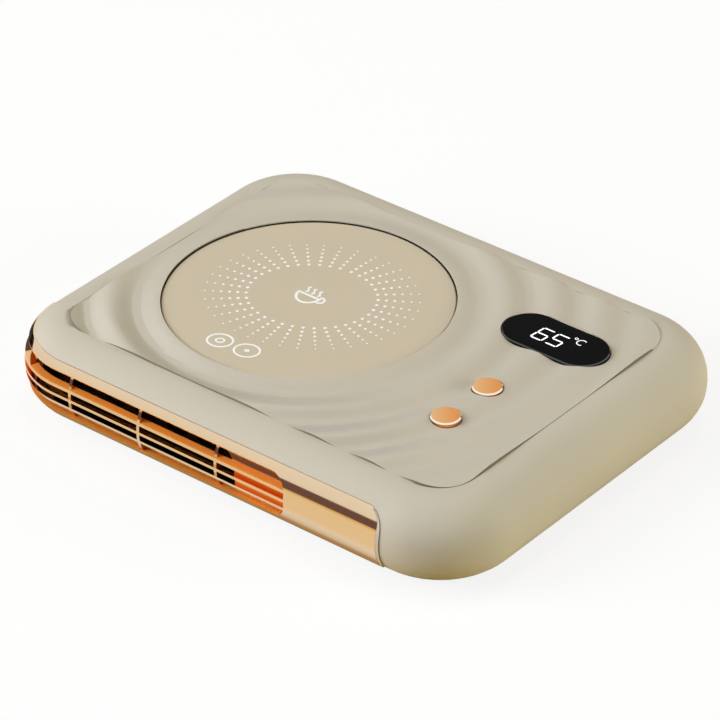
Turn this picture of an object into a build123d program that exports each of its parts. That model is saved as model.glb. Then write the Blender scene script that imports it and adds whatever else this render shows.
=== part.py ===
from build123d import *
import os
from math import cos, pi, sqrt

os.makedirs("parts", exist_ok=True)

# Millimetres, +Z up. The origin is on the table, under the middle of the whole appliance.
# +X runs along the long side, from the heating plate to the controls; the user sits at -Y.

# --- Housing -------------------------------------------------------------------------------
body_length = 192.5
body_depth = 149.5
body_height = 30.0
corner_radius = 28.7
top_round = 15.2
side_flat = 0.8
wall = 2.2
top_wall = 2.4
fit_gap = 0.2

# --- Rippled top panel ---------------------------------------------------------------------
panel_margin = 0.45
panel_sink = 1.0
ripple_pitch = 15.5
ripple_height = 1.0
crest_rise = 0.85
lip_reach = 8.3
points_per_ripple = 4

# --- Heating plate and the stack below it ----------------------------------------------------
plate_x = -24.0
plate_y = 1.1
plate_radius = 47.8
plate_thickness = 3.0
plate_rise = 0.14
plate_gap = 0.4
plate_edge_break = 0.3
gasket_thickness = 0.5
gasket_width = 3.6
ledge_width = 4.9
ledge_thickness = 1.8
gasket_fit = 0.05
gasket_lip_drop = 1.0
well_wall = 2.6
spreader_thickness = 1.5
spreader_gap = 0.6
spreader_bevel = 0.4
element_thickness = 0.6
element_inset = 2.4
terminal_length = 9.0
pad_thickness = 3.0
tray_thickness = 0.8
tray_rim = 2.0
tray_ear_radius = 4.0
tray_screw_count = 4
tray_screw_angle = 45
lead_slot_radius = 3.0
lead_slot_reach = 33.0
lead_slot_angle = 30
sensor_radius = 2.5
sensor_flange_radius = 5.0
sensor_flange_thickness = 0.8
sensor_tail = 2.4
sensor_gap = 0.4
cutoff_length = 11.0
cutoff_width = 5.0
cutoff_height = 3.2
cutoff_round = 0.8
cutoff_offset = 22.0

# --- Controls --------------------------------------------------------------------------------
control_x = 53.65
display_y = 30.8
display_length = 39.0
display_width = 19.0
lens_thickness = 2.2
lens_rise = 0.9
lens_bevel = 0.35
lens_ledge = 3.0
button_y = -15.2
button_pitch = 21.1
button_radius = 5.0
button_rise = 1.4
button_gap = 0.25
button_bevel = 0.45
cap_thickness = 2.2
button_travel = 0.5
stem_flange = 1.7
stem_flange_thickness = 1.0
flange_gap = 0.15
stem_post_radius = 2.0
switch_side = 6.0
switch_height = 3.5
switch_bevel = 0.5
plunger_radius = 1.75
plunger_rise = 1.5
plunger_seat = 1.0
board_thickness = 1.6
board_corner = 1.6
control_board_end_gap = 32.75
control_board_width = 36.0
control_board_y = 2.0
module_length = 22.0
module_width = 11.0
board_boss_radius = 2.6
board_boss_inset = 4.0

# --- Power input -----------------------------------------------------------------------------
power_x = 30.0
power_board_length = 40.0
power_board_depth = 24.0
inlet_width = 8.94
inlet_height = 3.26
inlet_depth = 7.4
inlet_wall = 0.3
inlet_setback = 0.8
tongue_width = 6.7
tongue_thickness = 0.7
tongue_setback = 0.6
inlet_base = 1.2
rear_clearance = 4.6
inductor_side = 8.0
inductor_height = 4.5
inductor_round = 1.6
inductor_bevel = 0.6
capacitor_radius = 4.0
capacitor_height = 10.0
capacitor_bevel = 0.5
buzzer_radius = 4.5
buzzer_height = 4.5
buzzer_port_radius = 0.9
buzzer_offset = 4.0
component_pitch = 10.5
lead_radius = 0.8
lead_pitch = 3.0
lead_drop = 4.5
lead_bend = 3.0
lead_landing_x = -9.5
lead_landing_inset = 3.25
cable_width = 5.0
cable_thickness = 0.4
cable_drop = 2.75
cable_bend = 2.0
cable_clearance = 1.5
cable_start_inset = 10.0
cable_landing_inset = 3.0

# --- Trim band and louvre ----------------------------------------------------------------------
band_low = 1.5
band_top_drop = 5.0
band_end_inset = 30.95
band_side_inset = 21.75
band_end_round = 5.0
band_proud = 0.45
band_gap = 0.08
band_thickness = 1.6
bead_width = 1.2
louvre_low_margin = 5.75
louvre_high_margin = 2.15
louvre_end_margin = 36.3
louvre_side_margin = 7.0
louvre_end_round = 6.0
slat_count = 3
slat_first = 4.0
slat_pitch = 3.3
slat_thickness = 1.0
slat_depth = 2.75
louvre_flange = 2.0
pan_thickness = 1.0
vent_start_inset = 15.25
vent_end_margin = 22.4
vent_high_margin = 1.65
vent_end_round = 6.8
vent_foot_round = 3.0
vent_clearance = 0.8
rib_width = 1.1
front_rib_offset = 49.7
inner_rib_offsets = (19.8, 81.2)
rib_setback = 0.8
layer_gap = 0.1
backing = 1.8
duct_depth = 6.5
duct_wall = 1.6
duct_slot_count = 5
duct_slot_length = 9.0
duct_slot_height = 3.5
duct_slot_pitch = 13.0
wrap_reach = 12.0
outside = 4.0

# --- Underside and fasteners ---------------------------------------------------------------------
foot_height = 1.2
foot_radius = 6.0
foot_sink = 0.8
foot_bevel = 0.4
foot_inset_x = 10.75
foot_inset_y = 12.25
cover_thickness = 2.2
cover_margin = 1.5
cover_ledge = 2.5
cover_ledge_thickness = 1.8
intake_count = 9
intake_pitch = 5.0
intake_length = 26.0
intake_width = 2.0
screw_inset_x = 20.75
screw_inset_y = 7.25
screw_boss_radius = 3.5
screw_radius = 1.5
screw_head_radius = 2.8
screw_head_height = 1.4
screw_sink = 1.4
screw_length = 9.0
screw_pilot_gap = 0.05
tray_screw_bite = 0.45
tray_pilot_end = 0.9
board_screw_radius = 1.1
board_screw_length = 5.0
board_screw_head_radius = 2.1
board_screw_head_height = 1.3

# --- Heights and places worked out from the sizes above -------------------------------------------
underside_z = foot_height
rim_z = underside_z + body_height
bottom_round = body_height - top_round - side_flat
top_inside_z = rim_z - top_wall
middle_z = underside_z + (bottom_round + body_height - top_round) / 2
panel_inset = top_round + panel_margin
well_radius = plate_radius + plate_gap
first_trough = well_radius + lip_reach
plate_top_z = rim_z + plate_rise
plate_bottom_z = plate_top_z - plate_thickness
ledge_top_z = plate_bottom_z - gasket_thickness
ledge_bottom_z = ledge_top_z - ledge_thickness
ledge_radius = well_radius - ledge_width
gasket_radius = well_radius - gasket_fit
spreader_radius = ledge_radius - spreader_gap
spreader_bottom_z = plate_bottom_z - spreader_thickness
element_bottom_z = spreader_bottom_z - element_thickness
pad_bottom_z = element_bottom_z - pad_thickness
tray_bottom_z = pad_bottom_z - tray_thickness
tray_screw_circle = (ledge_radius + well_radius + well_wall) / 2
cap_top_z = rim_z + button_rise
cap_bottom_z = cap_top_z - cap_thickness
flange_top_z = top_inside_z - flange_gap
flange_bottom_z = flange_top_z - stem_flange_thickness
plunger_top_z = flange_bottom_z - plunger_rise
switch_top_z = plunger_top_z - plunger_rise
control_board_top_z = switch_top_z - switch_height
lens_top_z = rim_z + lens_rise
lens_bottom_z = lens_top_z - lens_thickness
power_board_top_z = middle_z - inlet_height / 2
power_board_y = body_depth / 2 - rear_clearance - power_board_depth / 2
control_board_length = body_depth - 2 * control_board_end_gap
inlet_mouth_y = body_depth / 2 - inlet_setback
cover_top_z = underside_z + cover_thickness
floor_ledge_z = cover_top_z + cover_ledge_thickness
cover_inset = bottom_round + cover_margin
foot_spacing_x = body_length - 2 * (cover_inset + foot_inset_x)
foot_spacing_y = body_depth - 2 * (cover_inset + foot_inset_y)
screw_spacing_x = body_length / 2 - cover_inset - screw_inset_x
screw_spacing_y = body_depth - 2 * (cover_inset + screw_inset_y)
band_high = body_height - band_top_drop
band_front_end = body_length / 2 - band_end_inset
band_side_end = band_side_inset - body_depth / 2
louvre_low = band_low + louvre_low_margin
louvre_high = band_high - louvre_high_margin
louvre_front_end = band_front_end - louvre_end_margin
louvre_side_end = band_side_end - louvre_side_margin
vent_start = vent_start_inset - body_length / 2
vent_end = louvre_front_end - vent_end_margin
vent_middle = (vent_start + vent_end) / 2
vent_high = louvre_high - vent_high_margin
vent_level = underside_z + (louvre_low + vent_high) / 2
slat_levels = [louvre_low + slat_first + slat_pitch * step for step in range(slat_count)]
front_rib_x = vent_start + front_rib_offset
inner_ribs = [vent_start + offset for offset in inner_rib_offsets]
band_back = band_thickness - band_proud
flange_front = band_back + layer_gap
pan_back = slat_depth + pan_thickness
backing_front = pan_back + layer_gap
duct_front = backing_front + backing + layer_gap
duct_back = duct_front + duct_depth


# --- Shared forms ------------------------------------------------------------------------------------
def pillow(growth):
    """The body's outer form with its skin moved out by growth, or in where growth is negative."""
    with BuildPart() as form:
        with BuildSketch(Plane.XY.offset(underside_z - growth)):
            RectangleRounded(body_length + 2 * growth, body_depth + 2 * growth, corner_radius + growth)
        extrude(amount=body_height + 2 * growth)
        fillet(form.edges().group_by(Axis.Z)[-1], top_round + growth)
        fillet(form.edges().group_by(Axis.Z)[0], bottom_round + growth)
    return form.part


def core(inset):
    """Upright block with the body's outline, brought in by inset all round."""
    with BuildPart() as block:
        with BuildSketch():
            RectangleRounded(body_length - 2 * inset, body_depth - 2 * inset, corner_radius - inset)
        extrude(amount=body_height * 2)
    return block.part


def wrap(low, high, front_end, side_end, end_round):
    """Space round the front left corner, from front_end in X to side_end in Y, with rounded ends."""
    left = -body_length / 2 - outside
    front = -body_depth / 2 - outside
    with BuildPart() as space:
        with BuildSketch(Plane.XZ.offset(-front)) as front_view:
            with Locations(((left + front_end) / 2, underside_z + (low + high) / 2)):
                Rectangle(front_end - left, high - low)
            fillet(front_view.vertices().group_by(Axis.X)[-1], end_round)
        extrude(amount=-(outside + corner_radius))
        with BuildSketch(Plane.YZ.offset(left)) as side_view:
            with Locations(((front + side_end) / 2, underside_z + (low + high) / 2)):
                Rectangle(side_end - front, high - low)
            fillet(side_view.vertices().group_by(Axis.Y)[-1], end_round)
        extrude(amount=outside + corner_radius)
    return space.part - core(wrap_reach)


def vent(margin):
    """Space of the vent's through opening on the front, grown by margin."""
    length = vent_end - vent_start + 2 * margin
    height = vent_high - louvre_low + 2 * margin
    with BuildPart() as space:
        with BuildSketch(Plane.XZ.offset(body_depth / 2 + outside)) as front_view:
            with Locations((vent_middle, vent_level)):
                Rectangle(length, height)
            end_corners = front_view.vertices().group_by(Axis.X)[-1].sort_by(Axis.Y)
            fillet(end_corners[-1], vent_end_round + margin)
            fillet(front_view.vertices().group_by(Axis.Y)[0].sort_by(Axis.X)[-1], vent_foot_round + margin)
        extrude(amount=-(outside + corner_radius))
    return space.part


def ripple_z(radius):
    """Height of the rippled panel at a distance from the plate's axis: a long slope, then even rings."""
    trough_z = rim_z + crest_rise - ripple_height
    if radius < first_trough:
        return trough_z + ripple_height * (1 - cos(pi / 2 * (first_trough - radius) / lip_reach))
    return trough_z + ripple_height / 2 * (1 - cos(2 * pi * (radius - first_trough) / ripple_pitch))


body_form = pillow(0)
cavity_form = pillow(-wall)
proud_form = pillow(band_proud)
band_back_form = pillow(-band_back)
flange_front_form = pillow(-flange_front)
rib_front_form = pillow(-rib_setback)
slat_back_form = pillow(-slat_depth)
pan_back_form = pillow(-pan_back)
band_seat_form = pillow(-(flange_front + backing))
backing_front_form = pillow(-backing_front)
backing_back_form = pillow(-(backing_front + backing))
band_space = wrap(band_low, band_high, band_front_end, band_side_end, band_end_round)
band_room = wrap(
    band_low - band_gap,
    band_high + band_gap,
    band_front_end + band_gap,
    band_side_end + band_gap,
    band_end_round + band_gap,
)
louvre_space = wrap(louvre_low, louvre_high, louvre_front_end, louvre_side_end, louvre_end_round)
flange_space = wrap(
    louvre_low - louvre_flange,
    louvre_high + louvre_flange,
    louvre_front_end + louvre_flange,
    louvre_side_end + louvre_flange,
    louvre_end_round + louvre_flange,
)
flange_room = wrap(
    louvre_low - louvre_flange - fit_gap,
    louvre_high + louvre_flange + fit_gap,
    louvre_front_end + louvre_flange + fit_gap,
    louvre_side_end + louvre_flange + fit_gap,
    louvre_end_round + louvre_flange + fit_gap,
)
backing_space = wrap(
    louvre_low - louvre_flange - backing,
    louvre_high + louvre_flange + backing,
    louvre_front_end + louvre_flange + backing,
    louvre_side_end + louvre_flange + backing,
    louvre_end_round + louvre_flange + backing,
)
bead_space = wrap(
    band_low,
    band_high,
    band_front_end + band_gap + bead_width,
    band_side_end + band_gap + bead_width,
    band_end_round + bead_width,
)
vent_space = vent(0)

control_hole_pitch_x = control_board_width - 2 * board_boss_inset
control_hole_pitch_y = control_board_length - 2 * board_boss_inset
power_hole_pitch_x = power_board_length - 2 * board_boss_inset
power_hole_pitch_y = power_board_depth - 2 * board_boss_inset

# The rippled panel: rings about the plate's axis, inside the rim's rounded rectangle.
panel_reach = sqrt((body_length / 2 - plate_x) ** 2 + (body_depth / 2 + plate_y) ** 2)
ring_steps = round((panel_reach - well_radius) / ripple_pitch * points_per_ripple)
ring_radii = [well_radius + (panel_reach - well_radius) * step / ring_steps for step in range(ring_steps + 1)]
with BuildPart() as panel:
    with BuildSketch(Plane(origin=(plate_x, plate_y, 0), x_dir=(1, 0, 0), z_dir=(0, -1, 0))):
        with BuildLine():
            crests = Spline([(radius, ripple_z(radius)) for radius in ring_radii])
            Polyline(
                crests @ 1,
                (panel_reach, rim_z - panel_sink),
                (well_radius, rim_z - panel_sink),
                crests @ 0,
            )
        make_face()
    revolve(axis=Axis((plate_x, plate_y, 0), (0, 0, 1)))
    with BuildSketch(Plane.XY.offset(rim_z - panel_sink)):
        RectangleRounded(
            body_length - 2 * panel_inset,
            body_depth - 2 * panel_inset,
            corner_radius - panel_inset,
        )
    extrude(amount=panel_sink + crest_rise * 2, mode=Mode.INTERSECT)

# --- Top cover: the one-piece housing that everything hangs in ----------------------------------------
with BuildPart() as top_cover:
    add(body_form)
    add(proud_form & bead_space)
    # hollow, with a thick floor ledge round the underside opening
    with BuildSketch(Plane.XY.offset(floor_ledge_z)):
        Rectangle(body_length, body_depth)
    cavity = extrude(amount=top_inside_z - floor_ledge_z, mode=Mode.PRIVATE) & cavity_form
    add(cavity, mode=Mode.SUBTRACT)
    # walls behind the trim band and the louvre
    add((band_back_form - band_seat_form) & band_space)
    add((band_back_form - backing_back_form) & backing_space)
    # rippled panel let into the flat top
    with BuildSketch(Plane.XY.offset(rim_z - panel_sink)):
        RectangleRounded(
            body_length - 2 * panel_inset,
            body_depth - 2 * panel_inset,
            corner_radius - panel_inset,
        )
    extrude(amount=panel_sink, mode=Mode.SUBTRACT)
    add(panel.part)
    # collar and ledge of the plate's well
    with BuildSketch(Plane.XY.offset(ledge_bottom_z)):
        with Locations((plate_x, plate_y)):
            Circle(well_radius + well_wall)
    extrude(amount=rim_z - panel_sink - ledge_bottom_z)
    with BuildSketch(Plane.XY.offset(ledge_top_z)):
        with Locations((plate_x, plate_y)):
            Circle(well_radius)
    extrude(amount=plate_thickness + ripple_height * 2, mode=Mode.SUBTRACT)
    with BuildSketch(Plane.XY.offset(ledge_bottom_z)):
        with Locations((plate_x, plate_y)):
            Circle(ledge_radius)
    extrude(amount=ledge_thickness, mode=Mode.SUBTRACT)
    # bosses for the heater tray
    with BuildSketch(Plane.XY.offset(pad_bottom_z)):
        with Locations((plate_x, plate_y)):
            with PolarLocations(tray_screw_circle, tray_screw_count, tray_screw_angle):
                Circle(screw_boss_radius)
    extrude(amount=ledge_bottom_z - pad_bottom_z)
    # bosses for the boards and for the bottom cover's screws
    with BuildSketch(Plane.XY.offset(control_board_top_z)):
        with Locations((control_x, control_board_y)):
            with GridLocations(control_hole_pitch_x, control_hole_pitch_y, 2, 2):
                Circle(board_boss_radius)
    extrude(amount=top_inside_z - control_board_top_z)
    with BuildSketch(Plane.XY.offset(power_board_top_z)):
        with Locations((power_x, power_board_y)):
            with GridLocations(power_hole_pitch_x, power_hole_pitch_y, 2, 2):
                Circle(board_boss_radius)
    power_bosses = extrude(amount=top_inside_z - power_board_top_z, mode=Mode.PRIVATE)
    add(power_bosses & body_form)
    with BuildSketch(Plane.XY.offset(cover_top_z)):
        with GridLocations(screw_spacing_x, screw_spacing_y, 3, 2):
            Circle(screw_boss_radius)
    extrude(amount=top_inside_z - cover_top_z)
    # pilot holes, open at the lower end of each boss
    with BuildSketch(Plane.XY.offset(pad_bottom_z)):
        with Locations((plate_x, plate_y)):
            with PolarLocations(tray_screw_circle, tray_screw_count, tray_screw_angle):
                Circle(screw_radius + screw_pilot_gap)
    extrude(amount=ledge_bottom_z + tray_pilot_end - pad_bottom_z, mode=Mode.SUBTRACT)
    with BuildSketch(Plane.XY.offset(control_board_top_z)):
        with Locations((control_x, control_board_y)):
            with GridLocations(control_hole_pitch_x, control_hole_pitch_y, 2, 2):
                Circle(board_screw_radius + screw_pilot_gap)
    extrude(amount=board_screw_length, mode=Mode.SUBTRACT)
    with BuildSketch(Plane.XY.offset(power_board_top_z)):
        with Locations((power_x, power_board_y)):
            with GridLocations(power_hole_pitch_x, power_hole_pitch_y, 2, 2):
                Circle(board_screw_radius + screw_pilot_gap)
    extrude(amount=board_screw_length, mode=Mode.SUBTRACT)
    with BuildSketch(Plane.XY.offset(cover_top_z)):
        with GridLocations(screw_spacing_x, screw_spacing_y, 3, 2):
            Circle(screw_radius + screw_pilot_gap)
    extrude(amount=screw_length, mode=Mode.SUBTRACT)
    # display: a pocket for the lens and a window for the lamp module
    with BuildSketch(Plane.XY.offset(lens_bottom_z)):
        with Locations((control_x, display_y)):
            SlotOverall(display_length + 2 * fit_gap, display_width + 2 * fit_gap)
    extrude(amount=lens_thickness + ripple_height, mode=Mode.SUBTRACT)
    with BuildSketch(Plane.XY.offset(top_inside_z)):
        with Locations((control_x, display_y)):
            SlotOverall(display_length - 2 * lens_ledge, display_width - 2 * lens_ledge)
    extrude(amount=lens_bottom_z - top_inside_z, mode=Mode.SUBTRACT)
    # button holes
    with BuildSketch(Plane.XY.offset(top_inside_z)):
        with Locations((control_x, button_y)):
            with GridLocations(0, button_pitch, 1, 2):
                Circle(button_radius + button_gap)
    extrude(amount=top_wall + ripple_height * 2, mode=Mode.SUBTRACT)
    # seat of the trim band, with the louvre's seat deeper behind it, and the vent through the wall
    add((proud_form - flange_front_form) & band_room, mode=Mode.SUBTRACT)
    add((proud_form - backing_front_form) & flange_room, mode=Mode.SUBTRACT)
    add(vent(vent_clearance) & (body_form - backing_back_form), mode=Mode.SUBTRACT)
    # power inlet's hole in the rear wall
    with BuildSketch(Plane.XZ.offset(-body_depth / 2 + wall * 2)):
        with Locations((power_x, middle_z)):
            SlotOverall(inlet_width + 2 * fit_gap, inlet_height + 2 * fit_gap)
    extrude(amount=-wall * 3, mode=Mode.SUBTRACT)
    # underside opening, with a rebate that the bottom cover lies in
    with BuildSketch(Plane.XY.offset(underside_z)):
        RectangleRounded(
            body_length - 2 * cover_inset,
            body_depth - 2 * cover_inset,
            corner_radius - cover_inset,
        )
    extrude(amount=cover_thickness, mode=Mode.SUBTRACT)
    with BuildSketch(Plane.XY.offset(cover_top_z)):
        RectangleRounded(
            body_length - 2 * (cover_inset + cover_ledge),
            body_depth - 2 * (cover_inset + cover_ledge),
            corner_radius - cover_inset - cover_ledge,
        )
        with GridLocations(screw_spacing_x, screw_spacing_y, 3, 2):
            Circle(screw_boss_radius, mode=Mode.SUBTRACT)
    extrude(amount=cover_ledge_thickness, mode=Mode.SUBTRACT)
top_cover.part.label = "top_cover"
export_step(top_cover.part, "parts/top_cover.step")

# --- Trim band: polished strip let into the front and the front left corner -----------------------------
with BuildPart() as trim_band:
    add(proud_form)
    add(band_back_form, mode=Mode.SUBTRACT)
    add(band_space, mode=Mode.INTERSECT)
    add(louvre_space, mode=Mode.SUBTRACT)
trim_band.part.label = "trim_band"
export_step(trim_band.part, "parts/trim_band.step")

# --- Louvre grille: a dished pan behind the band's window, three curved slats and upright ribs -------------
slat_space = wrap(
    louvre_low + fit_gap,
    louvre_high - fit_gap,
    louvre_front_end - fit_gap,
    louvre_side_end - fit_gap,
    louvre_end_round - fit_gap,
)
slat_ring = (body_form - slat_back_form) & slat_space
rib_ring = (rib_front_form - pan_back_form) & louvre_space
front_rib_ring = (body_form - pan_back_form) & louvre_space
with BuildPart() as slat_slabs:
    for level in slat_levels:
        with BuildSketch(Plane.XY.offset(underside_z + level - slat_thickness / 2)):
            Rectangle(body_length, body_depth)
        extrude(amount=slat_thickness)
with BuildPart() as inner_rib_slabs:
    for rib_x in inner_ribs:
        with BuildSketch(Plane.YZ.offset(rib_x - rib_width / 2)):
            with Locations((-body_depth / 4, middle_z)):
                Rectangle(body_depth / 2, body_height)
        extrude(amount=rib_width)
with BuildPart() as front_rib_slab:
    with BuildSketch(Plane.YZ.offset(front_rib_x - rib_width / 2)):
        with Locations((-body_depth / 4, middle_z)):
            Rectangle(body_depth / 2, body_height)
    extrude(amount=rib_width)
with BuildPart() as louvre_grille:
    add(flange_front_form)
    add(pan_back_form, mode=Mode.SUBTRACT)
    add(flange_space, mode=Mode.INTERSECT)
    add(louvre_space - slat_back_form, mode=Mode.SUBTRACT)
    add(vent_space, mode=Mode.SUBTRACT)
    add(slat_ring & slat_slabs.part)
    add(rib_ring & inner_rib_slabs.part)
    add(front_rib_ring & front_rib_slab.part)
louvre_grille.part.label = "louvre_grille"
export_step(louvre_grille.part, "parts/louvre_grille.step")

# --- Vent duct: black channel behind the vent, with slots through to the housing ------------------------------
duct_outside = vent(duct_wall + fit_gap) & pillow(-duct_front)
duct_inside = vent(fit_gap) - core(duct_back - duct_wall)
duct_core = core(duct_back)
with BuildPart() as vent_duct:
    add(duct_outside)
    add(duct_core, mode=Mode.SUBTRACT)
    add(duct_inside, mode=Mode.SUBTRACT)
    with BuildSketch(Plane.XZ.offset(body_depth / 2 - duct_front)):
        with Locations((vent_middle, vent_level)):
            with GridLocations(duct_slot_pitch, 0, duct_slot_count, 1):
                SlotOverall(duct_slot_length, duct_slot_height)
    extrude(amount=-duct_depth * 2, mode=Mode.SUBTRACT)
vent_duct.part.label = "vent_duct"
export_step(vent_duct.part, "parts/vent_duct.step")

# --- Heating plate and its sealing ring ------------------------------------------------------------------------
with BuildPart() as heating_plate:
    with BuildSketch(Plane.XY.offset(plate_bottom_z)):
        with Locations((plate_x, plate_y)):
            Circle(plate_radius)
    extrude(amount=plate_thickness)
    fillet(heating_plate.edges().group_by(Axis.Z)[-1], plate_edge_break)
heating_plate.part.label = "heating_plate"
export_step(heating_plate.part, "parts/heating_plate.step")

with BuildPart() as plate_gasket:
    with BuildSketch(Plane(origin=(plate_x, plate_y, 0), x_dir=(1, 0, 0), z_dir=(0, -1, 0))):
        with BuildLine():
            Polyline(
                (gasket_radius - gasket_width, ledge_top_z),
                (gasket_radius, ledge_top_z),
                (gasket_radius, plate_top_z - gasket_lip_drop),
                (plate_radius + gasket_fit, plate_top_z - gasket_lip_drop),
                (plate_radius + gasket_fit, plate_bottom_z),
                (gasket_radius - gasket_width, plate_bottom_z),
                close=True,
            )
        make_face()
    revolve(axis=Axis((plate_x, plate_y, 0), (0, 0, 1)))
plate_gasket.part.label = "plate_gasket"
export_step(plate_gasket.part, "parts/plate_gasket.step")

# --- Heater stack: spreader, element, insulation, and the tray that clamps them -----------------------------------
with BuildPart() as heat_spreader:
    with BuildSketch(Plane.XY.offset(spreader_bottom_z)):
        with Locations((plate_x, plate_y)):
            Circle(spreader_radius)
    extrude(amount=spreader_thickness)
    chamfer(heat_spreader.edges().group_by(Axis.Z)[0], spreader_bevel)
heat_spreader.part.label = "heat_spreader"
export_step(heat_spreader.part, "parts/heat_spreader.step")

with BuildPart() as heating_element:
    with BuildSketch(Plane.XY.offset(element_bottom_z)):
        with Locations((plate_x, plate_y)):
            Circle(spreader_radius - element_inset)
            with PolarLocations(lead_slot_reach, 1, lead_slot_angle):
                SlotOverall(terminal_length, lead_slot_radius * 2)
    extrude(amount=element_thickness)
heating_element.part.label = "heating_element"
export_step(heating_element.part, "parts/heating_element.step")

with BuildPart() as insulation_pad:
    with BuildSketch(Plane.XY.offset(pad_bottom_z)):
        with Locations((plate_x, plate_y)):
            Circle(spreader_radius - fit_gap)
            Circle(sensor_radius + sensor_gap, mode=Mode.SUBTRACT)
            with PolarLocations(lead_slot_reach, 1, lead_slot_angle):
                Circle(lead_slot_radius, mode=Mode.SUBTRACT)
    extrude(amount=pad_thickness)
insulation_pad.part.label = "insulation_pad"
export_step(insulation_pad.part, "parts/insulation_pad.step")

with BuildPart() as heater_tray:
    with BuildSketch(Plane.XY.offset(tray_bottom_z)):
        with Locations((plate_x, plate_y)):
            Circle(spreader_radius + tray_thickness)
            with PolarLocations(tray_screw_circle, tray_screw_count, tray_screw_angle):
                Circle(tray_ear_radius)
            with PolarLocations(tray_screw_circle, tray_screw_count, tray_screw_angle):
                Circle(screw_radius + fit_gap, mode=Mode.SUBTRACT)
            Circle(sensor_radius + sensor_gap, mode=Mode.SUBTRACT)
            with PolarLocations(lead_slot_reach, 1, lead_slot_angle):
                Circle(lead_slot_radius, mode=Mode.SUBTRACT)
    extrude(amount=tray_thickness)
    with BuildSketch(Plane.XY.offset(pad_bottom_z)):
        with Locations((plate_x, plate_y)):
            Circle(spreader_radius + tray_thickness)
            Circle(spreader_radius, mode=Mode.SUBTRACT)
            with PolarLocations(tray_screw_circle, tray_screw_count, tray_screw_angle):
                Circle(screw_boss_radius + fit_gap, mode=Mode.SUBTRACT)
    extrude(amount=tray_rim)
heater_tray.part.label = "heater_tray"
export_step(heater_tray.part, "parts/heater_tray.step")

with BuildPart() as tray_screws:
    with BuildSketch(Plane.XY.offset(tray_bottom_z - screw_head_height)):
        with Locations((plate_x, plate_y)):
            with PolarLocations(tray_screw_circle, tray_screw_count, tray_screw_angle):
                Circle(screw_head_radius)
    extrude(amount=screw_head_height)
    with BuildSketch(Plane.XY.offset(tray_bottom_z)):
        with Locations((plate_x, plate_y)):
            with PolarLocations(tray_screw_circle, tray_screw_count, tray_screw_angle):
                Circle(screw_radius)
    extrude(amount=ledge_bottom_z + tray_screw_bite - tray_bottom_z)
tray_screws.part.label = "tray_screws"
export_step(tray_screws.part, "parts/tray_screws.step")

with BuildPart() as temperature_sensor:
    with BuildSketch(Plane.XY.offset(tray_bottom_z - sensor_flange_thickness)):
        with Locations((plate_x, plate_y)):
            Circle(sensor_flange_radius)
    extrude(amount=sensor_flange_thickness)
    with BuildSketch(Plane.XY.offset(tray_bottom_z - sensor_tail)):
        with Locations((plate_x, plate_y)):
            Circle(sensor_radius)
    extrude(amount=element_bottom_z - tray_bottom_z + sensor_tail)
temperature_sensor.part.label = "temperature_sensor"
export_step(temperature_sensor.part, "parts/temperature_sensor.step")

with BuildPart() as thermal_cutoff:
    with BuildSketch(Plane.XY.offset(tray_bottom_z - cutoff_height)):
        with Locations((plate_x + cutoff_offset, plate_y)):
            Rectangle(cutoff_width, cutoff_length)
    extrude(amount=cutoff_height)
    fillet(thermal_cutoff.edges().filter_by(Axis.Y), cutoff_round)
thermal_cutoff.part.label = "thermal_cutoff"
export_step(thermal_cutoff.part, "parts/thermal_cutoff.step")

# two wires from the element's terminals, down through the tray's slot and over to the power board
lead_start = Vector(plate_x, plate_y) + Vector(lead_slot_reach, 0).rotate(Axis.Z, lead_slot_angle)
lead_end = Vector(power_x + lead_landing_x, power_board_y - power_board_depth / 2 + lead_landing_inset)
lead_side = (lead_end - lead_start).normalized().cross(Vector(0, 0, 1))
lead_run_z = tray_bottom_z - lead_drop
print("heater leads: bend radius", lead_bend)
with BuildPart() as heater_leads:
    for side in (-1, 1):
        start = lead_start + lead_side * (side * lead_pitch / 2)
        end = lead_end + lead_side * (side * lead_pitch / 2)
        with BuildLine() as route:
            FilletPolyline(
                (start.X, start.Y, element_bottom_z),
                (start.X, start.Y, lead_run_z),
                (end.X, end.Y, lead_run_z),
                (end.X, end.Y, power_board_top_z),
                radius=lead_bend,
            )
        with BuildSketch(Plane(origin=route.line @ 0, z_dir=route.line % 0)):
            Circle(lead_radius)
        sweep(path=route.line)
heater_leads.part.label = "heater_leads"
export_step(heater_leads.part, "parts/heater_leads.step")

# --- Display: bevelled lens over a lamp module ---------------------------------------------------------------------
with BuildPart() as display_lens:
    with BuildSketch(Plane.XY.offset(lens_bottom_z)):
        with Locations((control_x, display_y)):
            SlotOverall(display_length, display_width)
    extrude(amount=lens_thickness)
    chamfer(display_lens.edges().group_by(Axis.Z)[-1], lens_bevel)
display_lens.part.label = "display_lens"
export_step(display_lens.part, "parts/display_lens.step")

with BuildPart() as display_module:
    with BuildSketch(Plane.XY.offset(control_board_top_z)):
        with Locations((control_x, display_y)):
            Rectangle(module_length, module_width)
    extrude(amount=lens_bottom_z - fit_gap - control_board_top_z)
display_module.part.label = "display_module"
export_step(display_module.part, "parts/display_module.step")

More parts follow.
